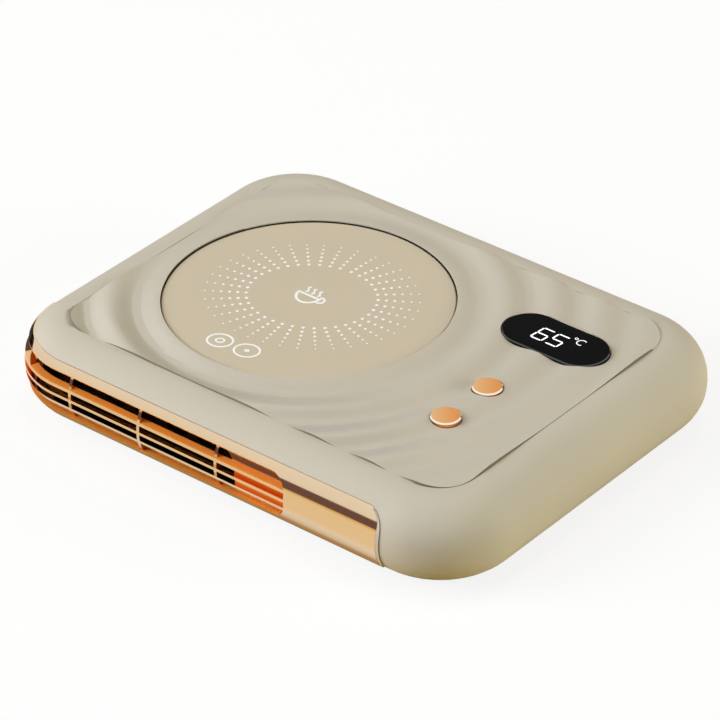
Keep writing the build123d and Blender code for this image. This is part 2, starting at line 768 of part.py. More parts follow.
# --- Buttons: metal cap, stem with a retaining flange, and the switch below ------------------------------------------
for name, place_y in (("upper", button_y + button_pitch / 2), ("lower", button_y - button_pitch / 2)):
    with BuildPart() as button_cap:
        with BuildSketch(Plane.XY.offset(cap_bottom_z)):
            with Locations((control_x, place_y)):
                Circle(button_radius)
        extrude(amount=cap_thickness)
        chamfer(button_cap.edges().group_by(Axis.Z)[-1], button_bevel)
    button_cap.part.label = f"{name}_button_cap"
    export_step(button_cap.part, f"parts/{name}_button_cap.step")

    with BuildPart() as button_stem:
        with BuildSketch(Plane.XY.offset(flange_top_z)):
            with Locations((control_x, place_y)):
                Circle(button_radius - button_bevel)
        extrude(amount=cap_bottom_z - flange_top_z)
        with BuildSketch(Plane.XY.offset(flange_bottom_z)):
            with Locations((control_x, place_y)):
                Circle(button_radius + stem_flange)
        extrude(amount=stem_flange_thickness)
        with BuildSketch(Plane.XY.offset(plunger_top_z)):
            with Locations((control_x, place_y)):
                Circle(stem_post_radius)
        extrude(amount=flange_bottom_z - plunger_top_z)
    button_stem.part.label = f"{name}_button_stem"
    export_step(button_stem.part, f"parts/{name}_button_stem.step")

    with BuildPart() as switch_plunger:
        with BuildSketch(Plane.XY.offset(switch_top_z - plunger_seat)):
            with Locations((control_x, place_y)):
                Circle(plunger_radius)
        extrude(amount=plunger_rise + plunger_seat)
    switch_plunger.part.label = f"{name}_switch_plunger"
    export_step(switch_plunger.part, f"parts/{name}_switch_plunger.step")

    with BuildPart() as switch_case:
        with BuildSketch(Plane.XY.offset(control_board_top_z)):
            with Locations((control_x, place_y)):
                Rectangle(switch_side, switch_side)
        extrude(amount=switch_height)
        chamfer(switch_case.edges().filter_by(Axis.Z), switch_bevel)
        with BuildSketch(Plane.XY.offset(switch_top_z - plunger_seat - button_travel - fit_gap)):
            with Locations((control_x, place_y)):
                Circle(plunger_radius + button_gap)
        extrude(amount=plunger_seat + button_travel + fit_gap, mode=Mode.SUBTRACT)
    switch_case.part.label = f"{name}_switch_case"
    export_step(switch_case.part, f"parts/{name}_switch_case.step")

# --- Circuit boards and what stands on them ---------------------------------------------------------------------------
with BuildPart() as control_board:
    with BuildSketch(Plane.XY.offset(control_board_top_z - board_thickness)):
        with Locations((control_x, control_board_y)):
            RectangleRounded(control_board_width, control_board_length, board_corner)
            with GridLocations(control_hole_pitch_x, control_hole_pitch_y, 2, 2):
                Circle(board_screw_radius + fit_gap, mode=Mode.SUBTRACT)
    extrude(amount=board_thickness)
control_board.part.label = "control_board"
export_step(control_board.part, "parts/control_board.step")

with BuildPart() as power_board:
    with BuildSketch(Plane.XY.offset(power_board_top_z - board_thickness)):
        with Locations((power_x, power_board_y)):
            RectangleRounded(power_board_length, power_board_depth, board_corner)
            with GridLocations(power_hole_pitch_x, power_hole_pitch_y, 2, 2):
                Circle(board_screw_radius + fit_gap, mode=Mode.SUBTRACT)
    extrude(amount=board_thickness)
power_board.part.label = "power_board"
export_step(power_board.part, "parts/power_board.step")

# flat cable from the control board's underside to the power board
cable_x = power_x + power_hole_pitch_x / 2 - board_boss_radius - cable_clearance - cable_width / 2
cable_start_y = control_board_y + control_board_length / 2 - cable_start_inset
cable_end_y = power_board_y - power_board_depth / 2 + cable_landing_inset
cable_start_z = control_board_top_z - board_thickness
cable_run_z = cable_start_z - cable_drop
print("board cable: bend radius", cable_bend)
with BuildPart() as board_cable:
    with BuildLine() as route:
        FilletPolyline(
            (cable_x, cable_start_y, cable_start_z),
            (cable_x, cable_start_y, cable_run_z),
            (cable_x, cable_end_y, cable_run_z),
            (cable_x, cable_end_y, power_board_top_z),
            radius=cable_bend,
        )
    with BuildSketch(Plane(origin=route.line @ 0, x_dir=(1, 0, 0), z_dir=route.line % 0)):
        Rectangle(cable_width, cable_thickness)
    sweep(path=route.line)
board_cable.part.label = "board_cable"
export_step(board_cable.part, "parts/board_cable.step")

with BuildPart() as power_inlet:
    with BuildSketch(Plane.XZ.offset(-inlet_mouth_y)):
        with Locations((power_x, middle_z)):
            SlotOverall(inlet_width, inlet_height)
    extrude(amount=inlet_depth)
    with BuildSketch(Plane.XZ.offset(-inlet_mouth_y)):
        with Locations((power_x, middle_z)):
            SlotOverall(inlet_width - 2 * inlet_wall, inlet_height - 2 * inlet_wall)
    extrude(amount=inlet_depth - inlet_base, mode=Mode.SUBTRACT)
    with BuildSketch(Plane.XZ.offset(-inlet_mouth_y + tongue_setback)):
        with Locations((power_x, middle_z)):
            Rectangle(tongue_width, tongue_thickness)
    extrude(amount=inlet_depth - tongue_setback)
power_inlet.part.label = "power_inlet"
export_step(power_inlet.part, "parts/power_inlet.step")

with BuildPart() as inductor:
    with BuildSketch(Plane.XY.offset(power_board_top_z)):
        with Locations((power_x - component_pitch, power_board_y)):
            RectangleRounded(inductor_side, inductor_side, inductor_round)
    extrude(amount=inductor_height)
    chamfer(inductor.edges().group_by(Axis.Z)[-1], inductor_bevel)
inductor.part.label = "inductor"
export_step(inductor.part, "parts/inductor.step")

with BuildPart() as capacitor:
    with BuildSketch(Plane.XY.offset(power_board_top_z)):
        with Locations((power_x + component_pitch, power_board_y)):
            Circle(capacitor_radius)
    extrude(amount=capacitor_height)
    chamfer(capacitor.edges().group_by(Axis.Z)[-1], capacitor_bevel)
capacitor.part.label = "capacitor"
export_step(capacitor.part, "parts/capacitor.step")

with BuildPart() as buzzer:
    with BuildSketch(Plane.XY.offset(power_board_top_z)):
        with Locations((power_x, power_board_y - buzzer_offset)):
            Circle(buzzer_radius)
            Circle(buzzer_port_radius, mode=Mode.SUBTRACT)
    extrude(amount=buzzer_height)
buzzer.part.label = "buzzer"
export_step(buzzer.part, "parts/buzzer.step")

with BuildPart() as board_screws:
    for top_z, place, pitch_x, pitch_y in (
        (control_board_top_z, (control_x, control_board_y), control_hole_pitch_x, control_hole_pitch_y),
        (power_board_top_z, (power_x, power_board_y), power_hole_pitch_x, power_hole_pitch_y),
    ):
        with BuildSketch(Plane.XY.offset(top_z - board_thickness - board_screw_head_height)):
            with Locations(place):
                with GridLocations(pitch_x, pitch_y, 2, 2):
                    Circle(board_screw_head_radius)
        extrude(amount=board_screw_head_height)
        with BuildSketch(Plane.XY.offset(top_z - board_thickness)):
            with Locations(place):
                with GridLocations(pitch_x, pitch_y, 2, 2):
                    Circle(board_screw_radius)
        extrude(amount=board_thickness + board_screw_length - fit_gap)
board_screws.part.label = "board_screws"
export_step(board_screws.part, "parts/board_screws.step")

# --- Underside: inset cover with vents, screws and rubber feet ---------------------------------------------------------
with BuildPart() as bottom_cover:
    with BuildSketch(Plane.XY.offset(underside_z)):
        RectangleRounded(
            body_length - 2 * (cover_inset + fit_gap),
            body_depth - 2 * (cover_inset + fit_gap),
            corner_radius - cover_inset - fit_gap,
        )
    extrude(amount=cover_thickness)
    with BuildSketch(Plane.XY.offset(underside_z)):
        with GridLocations(foot_spacing_x, foot_spacing_y, 2, 2):
            Circle(foot_radius + fit_gap)
    extrude(amount=foot_sink, mode=Mode.SUBTRACT)
    with BuildSketch(Plane.XY.offset(underside_z)):
        with GridLocations(screw_spacing_x, screw_spacing_y, 3, 2):
            Circle(screw_head_radius + fit_gap)
    extrude(amount=screw_sink, mode=Mode.SUBTRACT)
    with BuildSketch(Plane.XY.offset(underside_z)):
        with GridLocations(screw_spacing_x, screw_spacing_y, 3, 2):
            Circle(screw_radius + fit_gap)
        with Locations((control_x, 0)):
            with GridLocations(0, intake_pitch, 1, intake_count):
                SlotOverall(intake_length, intake_width)
    extrude(amount=cover_thickness, mode=Mode.SUBTRACT)
bottom_cover.part.label = "bottom_cover"
export_step(bottom_cover.part, "parts/bottom_cover.step")

with BuildPart() as cover_screws:
    with BuildSketch(Plane.XY.offset(underside_z + screw_sink - screw_head_height)):
        with GridLocations(screw_spacing_x, screw_spacing_y, 3, 2):
            Circle(screw_head_radius)
    extrude(amount=screw_head_height)
    with BuildSketch(Plane.XY.offset(underside_z + screw_sink)):
        with GridLocations(screw_spacing_x, screw_spacing_y, 3, 2):
            Circle(screw_radius)
    extrude(amount=screw_length)
cover_screws.part.label = "cover_screws"
export_step(cover_screws.part, "parts/cover_screws.step")

foot_places = (
    ("front_left", -1, -1),
    ("front_right", 1, -1),
    ("rear_left", -1, 1),
    ("rear_right", 1, 1),
)
for name, side_x, side_y in foot_places:
    with BuildPart() as foot:
        with BuildSketch():
            with Locations((side_x * foot_spacing_x / 2, side_y * foot_spacing_y / 2)):
                Circle(foot_radius)
        extrude(amount=foot_height + foot_sink)
        chamfer(foot.edges().group_by(Axis.Z)[0], foot_bevel)
    foot.part.label = f"{name}_foot"
    export_step(foot.part, f"parts/{name}_foot.step")
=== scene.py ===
import math

import bmesh
import bpy
from mathutils import Matrix, Vector


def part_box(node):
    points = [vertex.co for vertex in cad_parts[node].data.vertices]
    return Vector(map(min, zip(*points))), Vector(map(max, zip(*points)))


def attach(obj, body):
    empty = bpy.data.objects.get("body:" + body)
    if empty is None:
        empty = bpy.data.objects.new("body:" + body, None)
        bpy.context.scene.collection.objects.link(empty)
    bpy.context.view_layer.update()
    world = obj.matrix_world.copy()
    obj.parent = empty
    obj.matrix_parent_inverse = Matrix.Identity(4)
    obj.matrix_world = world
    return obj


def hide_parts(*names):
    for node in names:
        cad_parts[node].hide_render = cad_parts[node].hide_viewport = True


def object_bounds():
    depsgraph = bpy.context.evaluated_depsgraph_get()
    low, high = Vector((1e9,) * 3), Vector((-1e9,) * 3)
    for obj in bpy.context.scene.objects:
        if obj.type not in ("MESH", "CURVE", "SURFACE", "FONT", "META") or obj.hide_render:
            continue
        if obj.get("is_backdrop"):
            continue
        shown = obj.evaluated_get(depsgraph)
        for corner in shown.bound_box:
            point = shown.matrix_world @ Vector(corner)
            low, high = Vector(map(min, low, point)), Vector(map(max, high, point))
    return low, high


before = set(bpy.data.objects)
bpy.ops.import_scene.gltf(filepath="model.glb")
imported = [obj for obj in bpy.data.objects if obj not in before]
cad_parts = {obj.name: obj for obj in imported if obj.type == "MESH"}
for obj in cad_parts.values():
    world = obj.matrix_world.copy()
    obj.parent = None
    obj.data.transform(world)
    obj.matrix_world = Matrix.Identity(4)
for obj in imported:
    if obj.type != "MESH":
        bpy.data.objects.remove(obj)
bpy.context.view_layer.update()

# --- Camera ---------------------------------------------------------------------------------------
# A long lens looks from the front right and above, and is rolled by half a degree.
# It is aimed at a point near the middle of the top.
turn, lift, roll = math.radians(39.534), math.radians(33.074), math.radians(-0.504)
aim, distance = Vector((0.01195, -0.01672, 0.03135)), 1.3434
backward = Vector((math.sin(turn) * math.cos(lift), -math.cos(turn) * math.cos(lift), math.sin(lift)))
level_right = Vector((math.cos(turn), math.sin(turn), 0))
level_up = backward.cross(level_right)
right = level_right * math.cos(roll) + level_up * math.sin(roll)
up = level_up * math.cos(roll) - level_right * math.sin(roll)
camera = bpy.data.objects.new("camera", bpy.data.cameras.new("camera"))
bpy.context.scene.collection.objects.link(camera)
camera.data.lens = 212.1
camera.data.sensor_width = 36.0
camera.data.clip_end = 20.0
facing = Matrix((right, up, backward)).transposed().to_4x4()
camera.matrix_world = Matrix.Translation(aim + backward * distance) @ facing
bpy.context.scene.camera = camera

# --- Studio: pale floor, white surroundings and five soft lamps -----------------------------------
# The surroundings are white above a dark line along the horizon, which polished metal picks up.
# The floor throws a warm light up at the object, and metal mirrors a painted floor: painted shadow near
# the foot, a pale and warm middle and a dark far end.
scene = bpy.context.scene
scene.view_settings.view_transform = "Standard"


def node_maker(tree):
    """Adds nodes to one tree: make(kind, {socket: value}, property=value) gives the node."""
    def make(kind, values=None, **settings):
        node = tree.nodes.new(kind)
        for name, value in settings.items():
            setattr(node, name, value)
        for socket, value in (values or {}).items():
            node.inputs[socket].default_value = value
        return node
    return make


def ramp_of(make, stops):
    """Colour ramp through (place, colour) stops, given in rising order."""
    node = make("ShaderNodeValToRGB")
    points = node.color_ramp.elements
    for index, (place, colour) in enumerate(stops):
        point = points[index] if index < 2 else points.new(place)
        point.position, point.color = place, (*colour, 1)
    return node


def by_ray(make, wire, to_camera, to_metal, to_rest):
    """Shows one shader to the camera, one to mirror rays and one to all other light."""
    ray = make("ShaderNodeLightPath")
    metal_or_rest, camera_or_not = make("ShaderNodeMixShader"), make("ShaderNodeMixShader")
    wire(ray.outputs["Is Glossy Ray"], metal_or_rest.inputs["Fac"])
    wire(to_rest.outputs[0], metal_or_rest.inputs[1])
    wire(to_metal.outputs[0], metal_or_rest.inputs[2])
    wire(ray.outputs["Is Camera Ray"], camera_or_not.inputs["Fac"])
    wire(metal_or_rest.outputs[0], camera_or_not.inputs[1])
    wire(to_camera.outputs[0], camera_or_not.inputs[2])
    return camera_or_not.outputs[0]


white, dusk = (1, 1, 1), (0.18, 0.105, 0.10)
world = bpy.data.worlds.new("studio")
world.use_nodes = True
world.node_tree.nodes.clear()
scene.world = world
make, wire = node_maker(world.node_tree), world.node_tree.links.new
direction = make("ShaderNodeTexCoord")
heading = make("ShaderNodeSeparateXYZ")
leftward = make("ShaderNodeMapRange", {"From Min": -0.8, "From Max": -0.98,
                                       "To Min": 0.0, "To Max": 0.2})
height = make("ShaderNodeMath", operation="ADD")
horizon = ramp_of(make, ((0.0, dusk), (0.165, dusk), (0.19, (0.95, 0.95, 0.95)),
                         (0.6, white), (1.0, white)))
ambient = make("ShaderNodeBackground", {"Color": (*white, 1), "Strength": 0.03})
mirrored = make("ShaderNodeBackground", {"Strength": 1.0})
backdrop = make("ShaderNodeBackground", {"Color": (*white, 1), "Strength": 1.0})
surroundings = make("ShaderNodeOutputWorld")
wire(direction.outputs["Generated"], heading.inputs[0])
wire(heading.outputs["X"], leftward.inputs["Value"])
wire(heading.outputs["Z"], height.inputs[0])
wire(leftward.outputs["Result"], height.inputs[1])
wire(height.outputs[0], horizon.inputs["Fac"])
wire(horizon.outputs["Color"], mirrored.inputs["Color"])
wire(by_ray(make, wire, backdrop, mirrored, ambient), surroundings.inputs["Surface"])


def new_material(name):
    """Empty node material, with its own node maker and wire function."""
    material = bpy.data.materials.new(name)
    material.use_nodes = True
    material.node_tree.nodes.clear()
    return material, node_maker(material.node_tree), material.node_tree.links.new


def piece_from(bm, name, material, smooth=True, crease=30):
    """Turns a bmesh into an object at the origin, with hard edges where faces meet above the crease."""
    for face in bm.faces:
        face.smooth = smooth
    for edge in bm.edges:
        edge.smooth = len(edge.link_faces) == 2 and edge.calc_face_angle(0) < math.radians(crease)
    mesh = bpy.data.meshes.new(name)
    bm.to_mesh(mesh)
    bm.free()
    piece = bpy.data.objects.new(name, mesh)
    scene.collection.objects.link(piece)
    mesh.materials.append(material)
    return piece


# What metal mirrors of the floor is painted by the distance beyond the object's foot: a painted shadow
# close round the foot, pale and warm further out, dark at the far end.
foot_half_size, rearward = (0.09, 0.0685, 0), (-0.707, 0.707, 0)
floor_paint, make, wire = new_material("floor_paint")
at = make("ShaderNodeTexCoord")
outer = make("ShaderNodeVectorMath", operation="ABSOLUTE")
beyond = make("ShaderNodeVectorMath", {1: foot_half_size}, operation="SUBTRACT")
sides = make("ShaderNodeSeparateXYZ")
reach = make("ShaderNodeMath", operation="MAXIMUM")
behind = make("ShaderNodeVectorMath", {1: rearward}, operation="DOT_PRODUCT")
# Behind the left side the mirrored floor is darkened as painted shade.
shade_side = make("ShaderNodeMapRange", {"From Min": 0.05, "From Max": 0.08,
                                         "To Min": 1.0, "To Max": 0.06})
painted_floor_reflection = ramp_of(make, (
    (0.002, (0.38, 0.25, 0.11)), (0.0055, (0.61, 0.375, 0.17)), (0.0066, (0.77, 0.52, 0.28)),
    (0.0075, (0.81, 0.75, 0.70)), (0.010, (0.84, 0.78, 0.74)), (0.0115, (0.95, 0.90, 0.84)),
    (0.0155, (0.96, 0.89, 0.80)), (0.0185, (0.97, 0.84, 0.62)), (0.10, (0.97, 0.83, 0.58)),
    (0.13, (0.84, 0.61, 0.30)), (0.166, (0.90, 0.66, 0.28)), (0.186, dusk),
))
warm = make("ShaderNodeBsdfDiffuse", {"Color": (0.56, 0.40, 0.05, 1)})
lit = make("ShaderNodeEmission", {"Color": (*white, 1), "Strength": 1.0})
shadowed = make("ShaderNodeBsdfDiffuse", {"Color": (*white, 1)})
pale = make("ShaderNodeMixShader", {"Fac": 0.16})
mirrored = make("ShaderNodeEmission")
out = make("ShaderNodeOutputMaterial")
wire(at.outputs["Object"], outer.inputs[0])
wire(outer.outputs[0], beyond.inputs[0])
wire(beyond.outputs[0], sides.inputs[0])
wire(sides.outputs["X"], reach.inputs[0])
wire(sides.outputs["Y"], reach.inputs[1])
wire(reach.outputs[0], painted_floor_reflection.inputs["Fac"])
wire(painted_floor_reflection.outputs["Color"], mirrored.inputs["Color"])
wire(at.outputs["Object"], behind.inputs[0])
wire(behind.outputs["Value"], shade_side.inputs["Value"])
wire(shade_side.outputs["Result"], mirrored.inputs["Strength"])
wire(lit.outputs[0], pale.inputs[1])
wire(shadowed.outputs[0], pale.inputs[2])
wire(by_ray(make, wire, pale, mirrored, warm), out.inputs["Surface"])
half_floor, floor_drop = 4.0, 0.0002
bm = bmesh.new()
bmesh.ops.create_grid(bm, x_segments=2, y_segments=2, size=half_floor,
                      matrix=Matrix.Translation((0, 0, -floor_drop)))
floor = piece_from(bm, "floor", floor_paint)
floor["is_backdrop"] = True

lamp_size, lamp_aim = 1.45, Vector((0, 0, 0.02))
for name, place, power, colour in (
    ("key", (-2.05, -2.05, 1.35), 76.0, (0.816, 0.855, 1.0)),
    ("front", (-0.87, -2.69, 1.5), 38.0, (0.737, 0.868, 1.0)),
    ("left", (-1.78, -1.03, 2.45), 21.0, (1.0, 0.905, 0.381)),
    ("side", (2.79, 1.42, 0.67), 76.0, (0.961, 1.0, 0.895)),
    ("top", (0.1, 0.55, 3.15), 27.0, (1.0, 0.889, 0.852)),
):
    lamp = bpy.data.objects.new(name, bpy.data.lights.new(name, "AREA"))
    lamp.data.shape, lamp.data.size = "SQUARE", lamp_size
    lamp.data.energy, lamp.data.color = power, colour
    lamp.visible_glossy = False
    lamp.location = place
    lamp.rotation_euler = (lamp_aim - Vector(place)).to_track_quat("-Z", "Y").to_euler()
    scene.collection.objects.link(lamp)

# --- Housing cover --------------------------------------------------------------------------------
# One injection moulding in greige ABS with a soft-touch coat, rippled on top round the plate's well.
# The boards, the heater tray and the bottom cover are screwed to bosses inside it.


def coated(name, colour, mottle, roughness, grain, depth, sheen=0.0, specular=0.5, rings=None):
    """Moulded or coated surface: slow colour drift, uneven roughness and a fine grain.

    Rings, where given as (middle x, middle y, a crest's radius, pitch, height), deepen a ripple's
    relief, most of all along the front edge and hardly at the right edge."""
    material, make, wire = new_material(name)
    at = make("ShaderNodeTexCoord")
    drift = make("ShaderNodeTexNoise", {"Scale": 22.0, "Detail": 3.0, "Roughness": 0.55})
    tint = ramp_of(make, ((0.3, [c * (1 - mottle) for c in colour]),
                          (0.7, [min(1, c * (1 + mottle)) for c in colour])))
    smear = make("ShaderNodeTexNoise", {"Scale": 90.0, "Detail": 4.0, "Roughness": 0.6})
    dull = make("ShaderNodeMapRange", {"From Min": 0.3, "From Max": 0.7,
                                       "To Min": roughness * 0.9, "To Max": min(1, roughness * 1.12)})
    specks = make("ShaderNodeTexNoise", {"Scale": grain, "Detail": 2.0, "Roughness": 0.5})
    raised = make("ShaderNodeBump", {"Strength": 0.35, "Distance": depth})
    skin = make("ShaderNodeBsdfPrincipled", {"Specular IOR Level": specular, "Sheen Weight": sheen,
                                             "Sheen Roughness": 0.45})
    out = make("ShaderNodeOutputMaterial")
    for pattern in (drift, smear, specks):
        wire(at.outputs["Object"], pattern.inputs["Vector"])
    wire(drift.outputs["Fac"], tint.inputs["Fac"])
    wire(tint.outputs["Color"], skin.inputs["Base Color"])
    wire(smear.outputs["Fac"], dull.inputs["Value"])
    wire(dull.outputs["Result"], skin.inputs["Roughness"])
    wire(specks.outputs["Fac"], raised.inputs["Height"])
    wire(raised.outputs["Normal"], skin.inputs["Normal"])
    wire(skin.outputs[0], out.inputs["Surface"])
    if rings:
        x, y, crest, pitch, height = rings
        per_metre = 2 * math.pi / pitch
        centred = make("ShaderNodeVectorMath", {1: (-x, -y, 0)}, operation="ADD")
        flat = make("ShaderNodeVectorMath", {1: (1, 1, 0)}, operation="MULTIPLY")
        reach = make("ShaderNodeVectorMath", operation="LENGTH")
        turns = make("ShaderNodeMath", {1: per_metre, 2: -per_metre * crest}, operation="MULTIPLY_ADD")
        wave = make("ShaderNodeMath", operation="COSINE")
        sides = make("ShaderNodeSeparateXYZ")
        to_right = make("ShaderNodeMapRange", {"From Min": 0.045, "From Max": 0.075,
                                               "To Min": 1.0, "To Max": 0.15})
        to_rear = make("ShaderNodeMapRange", {"From Min": -0.05, "From Max": -0.02,
                                              "To Min": 1.0, "To Max": 0.3})
        fade = make("ShaderNodeMath", operation="MULTIPLY")
        relief = make("ShaderNodeBump", {"Distance": height / 2})
        wire(at.outputs["Object"], centred.inputs[0])
        wire(centred.outputs[0], flat.inputs[0])
        wire(flat.outputs[0], reach.inputs[0])
        wire(reach.outputs["Value"], turns.inputs[0])
        wire(turns.outputs[0], wave.inputs[0])
        wire(at.outputs["Object"], sides.inputs[0])
        wire(sides.outputs["X"], to_right.inputs["Value"])
        wire(sides.outputs["Y"], to_rear.inputs["Value"])
        wire(to_right.outputs["Result"], fade.inputs[0])
        wire(to_rear.outputs["Result"], fade.inputs[1])
        wire(fade.outputs[0], relief.inputs["Strength"])
        wire(wave.outputs[0], relief.inputs["Height"])
        wire(relief.outputs["Normal"], raised.inputs["Normal"])
    return material


def merged_copy(node, name, material, crease=30):
    """Copy of a CAD node with its loose triangles joined, which takes the node's place."""
    bm = bmesh.new()
    bm.from_mesh(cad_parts[node].data)
    bmesh.ops.remove_doubles(bm, verts=bm.verts, dist=2e-6)
    piece = piece_from(bm, name, material, crease=crease)
    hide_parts(node)
    return piece


plate_x, plate_y = -0.024, 0.0011
first_crest, ripple_pitch, ripple_depth = 0.06405, 0.0155, 0.0027
greige_coat = {"colour": (0.560, 0.508, 0.418), "mottle": 0.02, "roughness": 0.58, "grain": 2600.0,
               "depth": 0.00006, "sheen": 0.12, "specular": 0.35}
soft_touch = coated("soft_touch", **greige_coat)
cover = merged_copy("top_cover", "housing_cover", soft_touch, crease=28)
rippled = coated("soft_touch_rippled", **greige_coat,
                 rings=(plate_x, plate_y, first_crest, ripple_pitch, ripple_depth))
# Painted shade: the rippled top's upright step at its border is coloured dark olive, as the step in
# shade.
riser_shade = coated("soft_touch_riser_shade", (0.24, 0.21, 0.135), 0.02, 0.8, 2600.0, 0.00003, specular=0.1)
# Painted shadow: near black for the well's wall in the gap below the plate's top.
gap_shadow = coated("soft_touch_gap_shadow", (0.035, 0.03, 0.022), 0.02, 0.8, 2600.0, 0.00003, specular=0.1)
for finish in (rippled, riser_shade, gap_shadow):
    cover.data.materials.append(finish)
on_ripples, on_riser_shade, in_gap_shadow = 1, 2, 3
facing_up, facing_aside = 0.8, 0.3


def from_plate(x, y):
    """Distance from the plate's axis, seen from above."""
    return math.hypot(x - plate_x, y - plate_y)


def in_well(face, centre):
    """Whether a face is part of the upright wall round the plate."""
    well_floor, well_reach = 0.027, 0.0484
    return (centre.z > well_floor and abs(face.normal.z) < facing_aside
            and from_plate(centre.x, centre.y) < well_reach)


# The well's wall is painted near black up to just above the plate, as painted shadow in the gap.
shadow_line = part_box("heating_plate")[1].z + 0.0003
bm = bmesh.new()
bm.from_mesh(cover.data)
walls = [f for f in bm.faces if in_well(f, f.calc_center_median())]
around = list({v for f in walls for v in f.verts}) + list({e for f in walls for e in f.edges})
bmesh.ops.bisect_plane(bm, geom=walls + around, dist=1e-6, plane_co=(0, 0, shadow_line),
                       plane_no=(0, 0, 1))
bm.to_mesh(cover.data)
bm.free()
panel_level, panel_half_length, panel_half_depth, panel_hole = 0.0311, 0.0808, 0.0593, 0.049
border_x, border_y, rear_right_x, rear_right_y = 0.068, 0.056, 0.0676, 0.046
for face in cover.data.polygons:
    x, y, z = face.center
    on_panel = z > panel_level and abs(x) < panel_half_length and abs(y) < panel_half_depth
    at_border = abs(x) > border_x or abs(y) > border_y
    rear_right_corner = x > rear_right_x and y > rear_right_y
    if in_well(face, face.center) and z < shadow_line:
        face.material_index = in_gap_shadow
    elif on_panel and face.normal.z > facing_up and from_plate(x, y) > panel_hole:
        face.material_index = on_ripples
    # Upright faces of the rippled top's border get the painted shade.
    elif on_panel and abs(face.normal.z) < facing_aside and at_border and not rear_right_corner:
        face.material_index = on_riser_shade
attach(cover, "housing")

# A thin strip in painted shade lies along the rippled top's right edge and round its front right
# corner, where its raised step falls in shade.
corner_x, corner_y = 0.06755, 0.04605
line_reach, line_width, line_level = 0.01303, 0.0003, 0.03122
bm = bmesh.new()
for v in bmesh.ops.create_grid(bm, x_segments=40, y_segments=1, size=0.5)["verts"]:
    along, out = (v.co.x + 0.5) * 2, line_reach + (v.co.y + 0.5) * line_width
    bend = math.radians(-90 * max(along - 1, 0))
    straight = corner_y - 2 * corner_y * min(along, 1)
    v.co = Vector((corner_x + out * math.cos(bend), straight + out * math.sin(bend), line_level))
bmesh.ops.recalc_face_normals(bm, faces=bm.faces)
line = piece_from(bm, "riser_shade_line", riser_shade)
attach(line, "housing")

# --- Trim band and louvre grille ------------------------------------------------------------------
# The band is a plated strip in copper colour, let into the front and the front left corner.
# Behind its window lies the grille, plated alike: a dished pan with three curved slats and upright
# ribs. Both lie in seats of the cover, with the black duct behind them.


def plated(name, colour, roughness, ripple, metallic=1.0, scratches=400.0):
    """Metal plating: faint haze in the gloss and slight waviness of the moulding below."""
    material, make, wire = new_material(name)
    at = make("ShaderNodeTexCoord")
    drift = make("ShaderNodeTexNoise", {"Scale": 18.0, "Detail": 3.0})
    tint = ramp_of(make, ((0.0, [c * 0.96 for c in colour]), (1.0, [min(1, c * 1.03) for c in colour])))
    haze = make("ShaderNodeTexNoise", {"Scale": scratches, "Detail": 5.0, "Roughness": 0.65})
    dull = make("ShaderNodeMapRange", {"From Min": 0.35, "From Max": 0.75,
                                       "To Min": roughness * 0.7, "To Max": roughness * 1.5})
    wave = make("ShaderNodeTexNoise", {"Scale": 45.0, "Detail": 1.0})
    raised = make("ShaderNodeBump", {"Strength": 0.15, "Distance": ripple})
    skin = make("ShaderNodeBsdfPrincipled", {"Metallic": metallic})
    out = make("ShaderNodeOutputMaterial")
    for pattern in (drift, haze, wave):
        wire(at.outputs["Object"], pattern.inputs["Vector"])
    wire(drift.outputs["Fac"], tint.inputs["Fac"])
    wire(tint.outputs["Color"], skin.inputs["Base Color"])
    wire(haze.outputs["Fac"], dull.inputs["Value"])
    wire(dull.outputs["Result"], skin.inputs["Roughness"])
    wire(wave.outputs["Fac"], raised.inputs["Height"])
    wire(raised.outputs["Normal"], skin.inputs["Normal"])
    wire(skin.outputs[0], out.inputs["Surface"])
    return material


copper_gloss = plated("copper_gloss", (0.775, 0.595, 0.395), 0.07, 0.00002)
band = merged_copy("trim_band", "copper_band", copper_gloss, crease=24)
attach(band, "housing")
copper_deep = plated("copper_deep", (0.86, 0.47, 0.22), 0.10, 0.00002)
grille = merged_copy("louvre_grille", "copper_grille", copper_deep, crease=24)
copper_satin = plated("copper_satin", (0.97, 0.33, 0.05), 0.42, 0.00001, metallic=0.1)
# Painted shade: a near black copper for the tops round the left corner, where they mirror a dark
# surround.
copper_painted_shade = plated("copper_painted_shade", (0.075, 0.035, 0.026), 0.16, 0.00002)

# The top slat and the pan's foot are satin above; round the corner their tops turn deeper and then
# dark, as a painted dark reflection.
# The two lower slats stay deep, and all front edges are glossy.
for finish in (copper_satin, copper_gloss, copper_painted_shade):
    grille.data.materials.append(finish)
deep, satin, gloss, dark = 0, 1, 2, 3
corner_round, front_edge, slat_top, slat_front = 0.0287, 0.0018, 0.6, 0.5
lower_slats_from, lower_slats_to, turn_start, turn_end = 0.0095, 0.019, -0.08, -0.0868
for face in grille.data.polygons:
    x, y, z = face.center
    over_x, over_y = abs(x) - corner_x, abs(y) - corner_y
    inside = corner_round - math.hypot(max(over_x, 0), max(over_y, 0)) - min(max(over_x, over_y), 0)
    if face.normal.z > slat_top and not lower_slats_from < z < lower_slats_to:
        face.material_index = satin if x > turn_start else deep if x > turn_end else dark
    elif inside < front_edge and abs(face.normal.z) < slat_front:
        face.material_index = gloss
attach(grille, "housing")

